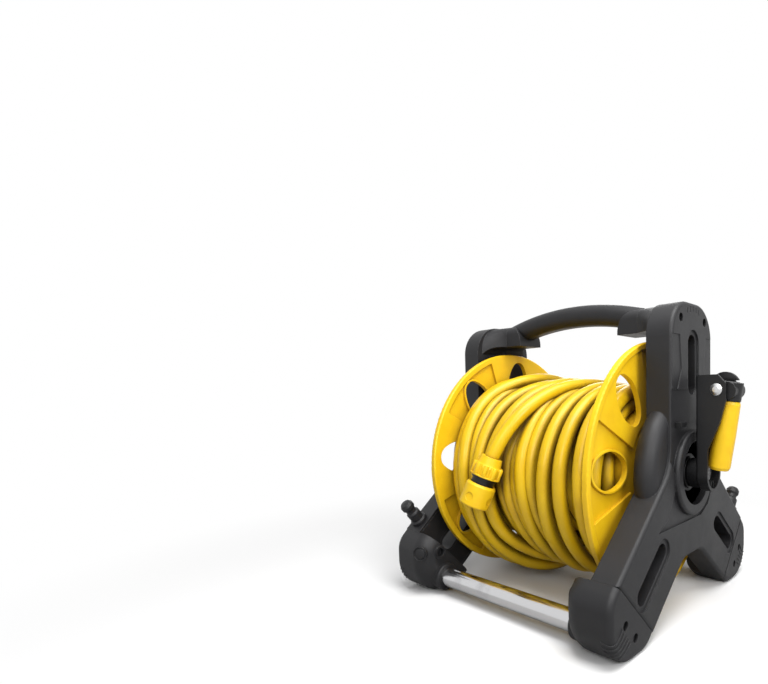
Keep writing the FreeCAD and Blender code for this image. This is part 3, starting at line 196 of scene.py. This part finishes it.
def polished_steel(name, rough):
    """Drawn steel tube: bright, with faint lines along it and a few dull patches."""
    material, wire, shader = new_finish(name)
    drawn = wire.node("ShaderNodeMapping", None, {
        "Vector": wire.spot(), "Scale": (6.0, 900.0, 900.0)})
    lines = wire.noise(scale=1.0, detail=4.0, roughness=0.6, spot=drawn)
    dull = wire.noise(scale=30.0, detail=4.0).between(0.5, 0.75)
    feed(shader, Metallic=1.0,
         Base_Color=wire.blend(dull, rgb(0.62, 0.62, 0.63), rgb(0.5, 0.5, 0.51)),
         Roughness=rough + 0.07 * lines + 0.08 * dull,
         Normal=lines.bump(strength=0.08, distance=0.0001))
    return material


def plated_steel(name, dark, light, rough):
    """Plated or blackened heads of screws and pins, a little cloudy, with soft edges."""
    material, wire, shader = new_finish(name)
    cloud = wire.noise(scale=400.0)
    soft, edge = wire.edges(0.0004)
    feed(shader, Metallic=1.0, Base_Color=wire.blend(cloud, dark, light),
         Roughness=rough + 0.14 * cloud - 0.05 * edge, Normal=soft)
    return material


def hose_vinyl(name):
    """Soft yellow vinyl: glossy, paler where it is rubbed, duller and painted brown as shade
    between the turns.
    """
    material, wire, shader = new_finish(name)
    cloud = wire.noise(scale=22.0, detail=4.0, roughness=0.6).between(0.3, 0.7)
    scuff = wire.noise(scale=190.0, detail=5.0, roughness=0.65).between(0.56, 0.78)
    ripple = wire.noise(scale=90.0, detail=2.0)
    # painted shade: where the turns crowd together the colour goes dark brown as if in their
    # shadow, and the gloss dulls
    painted_gap_shade = wire.crevice(0.018).between(0.14, 0.56)
    clean = wire.blend(cloud, rgb(0.68, 0.42, 0.005), rgb(0.77, 0.50, 0.008))
    worn = wire.blend(scuff * 0.3, clean, rgb(0.80, 0.55, 0.03))
    feed(shader, Base_Color=wire.blend(painted_gap_shade * 0.85, worn, rgb(0.085, 0.036, 0.002)),
         Roughness=0.30 + 0.10 * cloud + 0.12 * scuff + 0.15 * painted_gap_shade,
         Normal=ripple.bump(strength=0.12, distance=0.0006),
         Coat_Weight=0.07 * (1.0 - scuff) * (1.0 - painted_gap_shade), Coat_Roughness=0.15,
         Specular_IOR_Level=PLASTIC_SHINE)
    return material


def seal_rubber(name):
    """Matt black rubber, a little cloudy."""
    material, wire, shader = new_finish(name)
    cloud = wire.noise(scale=300.0)
    feed(shader, Base_Color=wire.blend(cloud, grey(0.012), grey(0.025)),
         Roughness=0.6 + 0.15 * cloud)
    return material


# each moulding's colour for places that other faces crowd in on is painted shade, not the
# plastic's own
BLACK = moulded_plastic(
    "black_moulding", dark=rgb(0.0085, 0.0085, 0.0095), light=rgb(0.0125, 0.0122, 0.0136),
    worn=rgb(0.05, 0.05, 0.053), painted_shade_colour=grey(0.004), rough=0.44, grain=0.35)
CRANK_BLACK = moulded_plastic(
    "crank_black", dark=rgb(0.0035, 0.0035, 0.004), light=rgb(0.006, 0.006, 0.0066),
    worn=rgb(0.04, 0.04, 0.042), painted_shade_colour=grey(0.003), rough=0.38, grain=0.2, round_over=0.0007)
YELLOW = moulded_plastic(
    "yellow_moulding", dark=rgb(0.80, 0.48, 0.007), light=rgb(0.87, 0.56, 0.012),
    worn=rgb(0.92, 0.68, 0.05), painted_shade_colour=rgb(0.34, 0.16, 0.004), rough=0.34, grain=0.18,
    round_over=0.0008, reach=0.04)
GREY = moulded_plastic(
    "grey_moulding", dark=rgb(0.14, 0.145, 0.15), light=rgb(0.18, 0.185, 0.19),
    worn=rgb(0.3, 0.3, 0.31), painted_shade_colour=grey(0.05), rough=0.42, grain=0.2, round_over=0.0006)
TUBE_STEEL = polished_steel("tube_steel", rough=0.14)
PLATED = plated_steel(
    "plated_steel", dark=rgb(0.55, 0.55, 0.56), light=rgb(0.68, 0.68, 0.67), rough=0.22)
BLACK_STEEL = plated_steel(
    "black_steel", dark=rgb(0.010, 0.010, 0.011), light=rgb(0.022, 0.022, 0.024), rough=0.42)
HOSE = hose_vinyl("hose_vinyl")
RUBBER = seal_rubber("seal_rubber")

# what isn't named here is black moulding
FINISHES = [
    (YELLOW, ("left_flange", "right_flange", "drum_core", "grip_sleeve", "connector_nut",
              "connector_sleeve")),
    (CRANK_BLACK, ("crank_arm", "grip_knuckle", "connector_body", "crank_rests", "left_bush",
                   "right_bush", "drive_shaft")),
    (TUBE_STEEL, ("front_tube", "rear_tube")),
    (PLATED, ("crank_screw", "grip_screw", "hinge_pin")),
    (BLACK_STEEL, ("mast_screws", "foot_screws", "cover_screws", "flange_screws")),
    (GREY, ("inlet_nipple", "water_spindle", "outlet_elbow")),
    (RUBBER, ("spindle_seals",)),
    (HOSE, ("hose_core", "hose_winding")),
]
for node in cad.values():
    finish = next((finish for finish, names in FINISHES if node.name in names), BLACK)
    node.data.materials.clear()
    node.data.materials.append(finish)


def on_drum(x, radius, degrees, hang=0.0):
    """A place round the drum's axis, or round one that hangs lower.

    The angle is measured up from the front, and falls as the hose winds on.
    """
    angle = math.radians(degrees)
    return Vector((x, -radius * math.cos(angle), HUB_Z - hang + radius * math.sin(angle)))


# the connector on the hose's end: its middle, half its length, and its axis up to the hose,
# which leans to the right and to the back
PLUG_CENTRE = Vector((-0.0316, -0.1330, HUB_Z - 0.0097))
PLUG_HALF = 0.0285
LEAN_RIGHT, LEAN_BACK = math.radians(15.8), math.radians(16.7)
PLUG_AXIS = Vector((math.tan(LEAN_RIGHT), math.tan(LEAN_BACK), 1.0)).normalized()
HOSE_IN_PLUG = 0.005

# the tight first layer, wound from the outlet on top of the core at the left to the right
POINTS_A_TURN = 16
OUTLET_ANGLE = 90.0
LAYER_LEFT, LAYER_RIGHT = -0.0880, 0.0968
LAYER_RADIUS = 0.0757
LAYER_TURNS = 11.5

# the turns over the first layer, back from right to left and then out to the right again.
# Each has its place along the drum over the top, above the front, at the front, below it and
# underneath, then its radius and how far the slack turn hangs, in millimetres
STATIONS = (105.0, 55.0, 10.0, -35.0, -80.0)
SLACK_TURNS = [
    (93, 91, 92, 93, 93, 102, 13),
    (79, 74, 75, 77, 78, 100, 12),
    (64, 53, 53, 58, 60, 105, 15),
    (49, 36, 32, 33, 36, 106, 15),
    (26, 10, 9, 15, 20, 99, 11),
    (13, 2, -2, 8, 11, 105, 13),
    (-1, -2, -13, -4, 0, 100, 11),
    (-14, -7, -24, -13, -9, 102, 12),
    (-30, -22, -37, -30, -28, 99, 8),
    (-47, -48, -49, -50, -51, 91, 1),
    (-63, -64, -65, -66, -67, 91, 1),
    (-79, -80, -81, -82, -83, 91, 1),
    (-94, -95, -95, -96, -96, 92, 1),
    (-96, -96, -95, -91, -88, 112, 12),
    (-84, -85, -86, -82, -76, 104, 9),
    (-45, -83, -79, -73, -58, 119, 14),
    (-62, -76, -70, -66, -44, 111, 14),
    (-20, -55, -60, -60, -30, 115, 19),
]
# the last turn and the free end that climbs the back and comes over to the connector:
# angle in degrees, then place along the drum, radius and hang in millimetres
FREE_END = [
    (465, -2, 113, 15), (415, -29, 112, 15), (370, -46, 110, 15), (325, -43, 111, 15),
    (300, -18, 108, 12), (275, 12, 106, 10), (225, 34, 106, 9), (180, 42, 105, 8),
    (140, 44, 100, 4), (110, 38, 95, 0), (90, 27, 95, 0), (75, 14, 97, 0), (60, 5, 101, 0),
    (45, -3, 109, 0), (32, -8, 115, 0), (20, -14, 121, 0), (0, -24, 127, 0),
]
MM_PER_METRE = 1000
# no turn lies quite straight: a slow waver along the drum, in metres and radians a degree
WAVER, WAVER_PACE = 0.0008, 0.045


def slack_keys(degrees):
    """The keys that the slack turns and the free end run through, from the first layer's end.

    A key is an angle in degrees, which falls from key to key, with a place along the drum,
    a radius and a hang in millimetres.
    """
    right, radius = MM_PER_METRE * LAYER_RIGHT, MM_PER_METRE * LAYER_RADIUS
    keys = [(degrees + 20.0, right - 1, radius, 0), (degrees, right, radius, 0)]
    wound = FULL_TURN * math.ceil((STATIONS[0] - degrees) / FULL_TURN)
    for *places, radius, hang in SLACK_TURNS:
        keys += [(station - wound, x, radius, hang) for station, x in zip(STATIONS, places)]
        wound += FULL_TURN
    wound += FULL_TURN
    return keys + [(angle - wound, x, radius, hang) for angle, x, radius, hang in FREE_END]


def follow(keys, degrees):
    """Place, radius and hang in metres at an angle, on smooth cubics through the keys."""
    at = next(index for index in range(1, len(keys) - 2) if keys[index + 1][0] <= degrees)
    before, start, end, after = keys[at - 1:at + 3]
    span = end[0] - start[0]
    share = (degrees - start[0]) / span
    ease = share * share * (3.0 - 2.0 * share)
    values = []
    for index in (1, 2, 3):
        leave = span * (end[index] - before[index]) / (end[0] - before[0])
        reach = span * (after[index] - start[index]) / (after[0] - start[0])
        value = start[index] * (1.0 - ease) + end[index] * ease
        value += leave * share * (1.0 - share) ** 2 - reach * share * share * (1.0 - share)
        values.append(value / MM_PER_METRE)
    return values


def hose_route():
    """The hose from the drum's outlet: a tight first layer, the slack turns and the free end.

    The spline cuts the corners between its points, so these lie further out by the bulge.
    """
    bulge = 1.0 / math.cos(math.pi / POINTS_A_TURN)
    step = FULL_TURN / POINTS_A_TURN
    count = int(LAYER_TURNS * POINTS_A_TURN)
    route = [on_drum(LAYER_LEFT, LAYER_RADIUS, OUTLET_ANGLE)]
    for index in range(count):
        x = LAYER_LEFT + (LAYER_RIGHT - LAYER_LEFT) * index / count
        route.append(on_drum(x, LAYER_RADIUS * bulge, OUTLET_ANGLE - (index + 0.5) * step))
    degrees = OUTLET_ANGLE - (count + 0.5) * step
    keys = slack_keys(degrees)
    while degrees > keys[-2][0]:
        x, radius, hang = follow(keys, degrees)
        x += WAVER * math.sin(WAVER_PACE * degrees)
        route.append(on_drum(x, radius * bulge, degrees, hang))
        degrees -= step
    end = PLUG_CENTRE + PLUG_AXIS * PLUG_HALF
    route.append(end + PLUG_AXIS * 2 * HOSE_RADIUS)
    route.append(end - PLUG_AXIS * HOSE_IN_PLUG)
    return route


def lay_hose(nut_pieces):
    """The hose as one spline on the drum's body; the nut's pieces that it is given are not used.
    """
    route = hose_route()
    data = bpy.data.curves.new("hose", "CURVE")
    data.dimensions = "3D"
    line = data.splines.new("NURBS")
    line.points.add(len(route) - 1)
    for point, place in zip(line.points, route):
        point.co = (*place, 1.0)
    line.order_u = 3
    line.use_endpoint_u = True
    line.resolution_u = 4
    data.bevel_depth = HOSE_RADIUS
    data.bevel_resolution = 5
    data.use_fill_caps = True
    data.materials.append(HOSE)
    hose = bpy.data.objects.new("hose", data)
    bpy.context.scene.collection.objects.link(hose)
    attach(hose, "drum")
    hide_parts("hose_core", "hose_winding")


def start_disc(radius, place, turn, corners):
    """Begin a piece as a filled disc with nothing else selected, and open it for editing."""
    bpy.ops.object.select_all(action="DESELECT")
    bpy.ops.mesh.primitive_circle_add(vertices=corners, radius=radius, fill_type="NGON",
                                      location=place, rotation=turn)
    bpy.ops.object.mode_set(mode="EDIT")
    bpy.ops.mesh.select_all(action="SELECT")
    return bpy.context.object


def push_out(offset):
    """Extrude the selected faces by an offset."""
    bpy.ops.mesh.extrude_region_move(TRANSFORM_OT_translate={"value": offset})


def modify(piece, kind, **settings):
    """Give a piece a modifier and apply it."""
    modifier = piece.modifiers.new(kind.lower(), kind)
    for name, value in settings.items():
        setattr(modifier, name, value)
    bpy.ops.object.modifier_apply(modifier=modifier.name)


WELD = 0.00002
SMOOTH_BELOW = math.radians(40.0)


def end_piece(piece, name, finish, body, rounding):
    """Close a piece: clean its mesh, round its edges and seat it on its body."""
    bpy.ops.mesh.select_all(action="SELECT")
    bpy.ops.mesh.remove_doubles(threshold=WELD)
    bpy.ops.mesh.normals_make_consistent(inside=False)
    bpy.ops.object.mode_set(mode="OBJECT")
    bpy.ops.object.transform_apply(location=True, rotation=True, scale=True)
    modify(piece, "BEVEL", width=rounding, segments=2, limit_method="ANGLE")
    bpy.ops.object.shade_smooth_by_angle(angle=SMOOTH_BELOW)
    piece.name = name
    piece.data.materials.append(finish)
    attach(piece, body)
    return piece


# nested mould steps low round the outer corner of each foot: the point they lie round on the
# right rear foot, and the radius, first and last angle of each
CORNER_X, CORNER_Y, CORNER_Z = 0.1510, 0.1640, 0.0380
STEPS = ((0.0130, -128.0, -10.0), (0.0172, -118.0, -24.0), (0.0214, -104.0, -33.0),
         (0.0256, -88.0, -37.0), (0.0298, -74.0, -42.0))
STEP_WIDTH = 0.0011
STEP_THICKNESS = 0.0013
STEP_RUN_IN = 0.03
FOOT_ROUNDING = 0.0003


def step_foot(name, side, front):
    """The nested steps of one foot: arcs of a ring laid against its corner and thickened.

    Each arc is drawn upright, the run-in away from the foot, and then pressed on to it.
    """
    slant = math.atan2(-front, side)
    place = Vector((side * CORNER_X, front * CORNER_Y, CORNER_Z))
    place += Vector((side, front, 0.0)).normalized() * STEP_RUN_IN
    for count, (radius, first, last) in enumerate(STEPS):
        step = start_disc(radius, place, (UPRIGHT, 0.0, slant), corners=90)
        bpy.ops.mesh.inset(thickness=STEP_WIDTH)
        bpy.ops.mesh.delete(type="FACE")
        bpy.ops.mesh.select_mode(type="VERT")
        mesh = bmesh.from_edit_mesh(step.data)
        for corner in mesh.verts:
            angle = math.degrees(math.atan2(corner.co.y, corner.co.x))
            corner.select_set(not first <= angle <= last)
        bmesh.update_edit_mesh(step.data)
        bpy.ops.mesh.delete(type="VERT")
        bpy.ops.object.mode_set(mode="OBJECT")
        modify(step, "SHRINKWRAP", target=cad[name], wrap_method="PROJECT",
               use_project_z=True, use_negative_direction=True)
        modify(step, "SOLIDIFY", thickness=STEP_THICKNESS, offset=0.0)
        bpy.ops.object.mode_set(mode="EDIT")
        end_piece(step, f"{name}_step_{count + 1}", BLACK, "frame",
                  FOOT_ROUNDING)


for side, hand in ((-1.0, "left"), (1.0, "right")):
    for front, end in ((-1.0, "front"), (1.0, "rear")):
        step_foot(f"{end}_{hand}_foot", side, front)


# the round boss on the inner corner of a foot, as on the right rear one: where it sits, which
# way it faces, and the rise and then the margin of each step of its face
BOSS_X, BOSS_Y, BOSS_Z = 0.1090, 0.1633, 0.0519
BOSS_FACING_X, BOSS_FACING_Y = -0.49, 0.87
BOSS_RADIUS = 0.0088
BOSS_STAND = 0.0010
BOSS_DEPTH = 0.0080
BOSS_FACE = ((BOSS_DEPTH, 0.0014), (-0.0012, 0.0013), (0.0009, 0.0))


def make_boss(name, side, front):
    """A round boss with a ring groove on the inner corner of a foot."""
    outward = Vector((BOSS_FACING_X * side, BOSS_FACING_Y * front, 0.0)).normalized()
    place = Vector((side * BOSS_X, front * BOSS_Y, BOSS_Z)) + outward * BOSS_STAND
    boss = start_disc(BOSS_RADIUS, place - outward * BOSS_DEPTH,
                      outward.to_track_quat("Z", "Y").to_euler(), corners=48)
    for rise, margin in BOSS_FACE:
        push_out(outward * rise)
        if margin:
            bpy.ops.mesh.inset(thickness=margin)
    end_piece(boss, name, BLACK, "frame", FOOT_ROUNDING)


make_boss("front_left_boss", -1.0, -1.0)
make_boss("rear_right_boss", 1.0, 1.0)

# the crank's hood is a disc cut off level at its foot
HOOD_X, HOOD_Y, HOOD_Z = 0.179, 0.0186, 0.2405
HOOD_RADIUS = 0.016
HOOD_THICKNESS = 0.0040
HOOD_FOOT_Z = 0.2470
HOOD_ROUNDING = 0.0006


def make_hood():
    """The rounded top of the crank's rear cheek, over the hinge of the grip."""
    hood = start_disc(HOOD_RADIUS, (HOOD_X, HOOD_Y, HOOD_Z), (UPRIGHT, 0.0, 0.0), corners=64)
    push_out((0.0, -HOOD_THICKNESS, 0.0))
    bpy.ops.mesh.select_all(action="SELECT")
    bpy.ops.mesh.bisect(plane_co=(HOOD_X, 0.0, HOOD_FOOT_Z), plane_no=(0.0, 0.0, 1.0),
                        clear_inner=True, use_fill=True)
    end_piece(hood, "crank_hood", CRANK_BLACK, "drum", HOOD_ROUNDING)


make_hood()

# the clamping nut's rim and lobes; starts and middles are measured up the connector's axis
RIM_RADIUS = 0.0172
RIM_START = 0.0057
RIM_THICKNESS = 0.0018
NUT_LOBES = 9
LOBE_RADIUS = 0.0030
LOBE_LENGTH = 0.0124
LOBE_MIDDLE = 0.0134
LOBE_RING = 0.0145
LOBE_TURN = 0.25
NUT_ROUNDING = 0.0010


def dress_nut():
    """The rim and the rounded finger lobes of the connector's clamping nut."""
    turn = PLUG_AXIS.to_track_quat("Z", "Y")
    nut = start_disc(RIM_RADIUS, PLUG_CENTRE + PLUG_AXIS * RIM_START, turn.to_euler(),
                     corners=48)
    push_out(PLUG_AXIS * RIM_THICKNESS)
    for index in range(NUT_LOBES):
        angle = math.tau * (index + LOBE_TURN) / NUT_LOBES
        around = turn @ Quaternion((0.0, 0.0, 1.0), angle)
        place = PLUG_CENTRE + PLUG_AXIS * LOBE_MIDDLE + around @ Vector((LOBE_RING, 0.0, 0.0))
        bpy.ops.mesh.select_all(action="DESELECT")
        bpy.ops.mesh.primitive_cylinder_add(vertices=14, radius=LOBE_RADIUS, depth=LOBE_LENGTH,
                                            location=place, rotation=around.to_euler())
    return end_piece(nut, "nut_lobes", YELLOW, "drum", NUT_ROUNDING)


lay_hose([dress_nut()])

FLOOR_SIZE = 60.0
SHADOW_FULL, SHADOW_GONE = 0.22, 0.75
WHITE = grey(1.0)


def make_floor():
    """A wide pale floor that keeps the shadow near the reel and runs out to plain white."""
    bpy.ops.object.select_all(action="DESELECT")
    bpy.ops.mesh.primitive_plane_add(size=FLOOR_SIZE, location=(0.0, 0.0, 0.0))
    floor = bpy.context.object
    floor.name = "floor"
    material, wire, shader = new_finish("pale_floor")
    away = wire.node("ShaderNodeVectorMath", {"operation": "LENGTH"}, {0: wire.spot()},
                     output="Value")
    cloud = wire.noise(scale=3.0)
    pale = wire.blend(cloud, grey(0.88), grey(0.92))
    feed(shader, Base_Color=wire.blend(wire.rays("Camera"), grey(0.45), pale),
         Roughness=0.7 + 0.1 * cloud)
    glow = wire.node("ShaderNodeEmission", None, {"Color": WHITE, "Strength": 1.0})
    far = away.between(SHADOW_FULL, SHADOW_GONE) * wire.in_sight()
    mixed = wire.node("ShaderNodeMixShader", None, {
        0: far, 1: Wire(wire.tree, shader.outputs[0]), 2: glow})
    output = next(node for node in wire.tree.nodes if node.type == "OUTPUT_MATERIAL")
    plug(output.inputs["Surface"], mixed)
    floor.data.materials.append(material)


make_floor()

# softboxes that all face the reel's middle: name, place, watts, width and height
MIDDLE = Vector((0.0, 0.0, 0.16))
LAMPS = [
    ("overhead_softbox", (0.35, -0.2, 1.15), 15.0, (0.8, 0.7)),
    ("front_softbox", (0.55, -1.0, 0.7), 4.0, (0.5, 0.4)),
    ("side_softbox", (1.0, -0.35, 0.65), 5.4, (0.45, 0.45)),
    ("rear_softbox", (-0.6, 1.3, 0.9), 6.0, (0.8, 0.6)),
]
for name, place, watts, sides in LAMPS:
    light = bpy.data.lights.new(name, "AREA")
    light.shape = "RECTANGLE"
    light.size, light.size_y = sides
    light.energy = watts
    lamp = bpy.data.objects.new(name, light)
    lamp.location = place
    lamp.rotation_euler = (MIDDLE - Vector(place)).to_track_quat("-Z", "Y").to_euler()
    bpy.context.scene.collection.objects.link(lamp)

# the room is white to look at and in mirrors, and gives only a little light of its own
ROOM_LIGHT = 0.17
world = bpy.data.worlds.new("studio")
bpy.context.scene.world = world
world.use_nodes = True
backing = next(node for node in world.node_tree.nodes if node.type == "BACKGROUND")
plug(backing.inputs["Color"], WHITE)
plug(backing.inputs["Strength"],
     ROOM_LIGHT + (1.0 - ROOM_LIGHT) * Wire(world.node_tree).in_sight())

# the camera stands where the photograph was taken from
CAMERA_PLACE = Vector((0.3672, -0.5096, 0.2352))
YAW, PITCH, ROLL = (math.radians(turn) for turn in (41.59, -2.75, -1.0))
ahead = Vector((-math.sin(YAW) * math.cos(PITCH), math.cos(YAW) * math.cos(PITCH),
                math.sin(PITCH)))
level = Vector((math.cos(YAW), math.sin(YAW), 0.0))
upward = level.cross(ahead)
right = level * math.cos(ROLL) + upward * math.sin(ROLL)
top = upward * math.cos(ROLL) - level * math.sin(ROLL)
lens = bpy.data.cameras.new("camera")
lens.sensor_width = 36.0
lens.lens = 23.31
lens.shift_x = -0.184
lens.shift_y = 0.101
camera = bpy.data.objects.new("camera", lens)
camera.matrix_world = (Matrix.Translation(CAMERA_PLACE)
                       @ Matrix((right, top, -ahead)).transposed().to_4x4())
bpy.context.scene.collection.objects.link(camera)
bpy.context.scene.camera = camera
bpy.context.scene.view_settings.view_transform = "Standard"
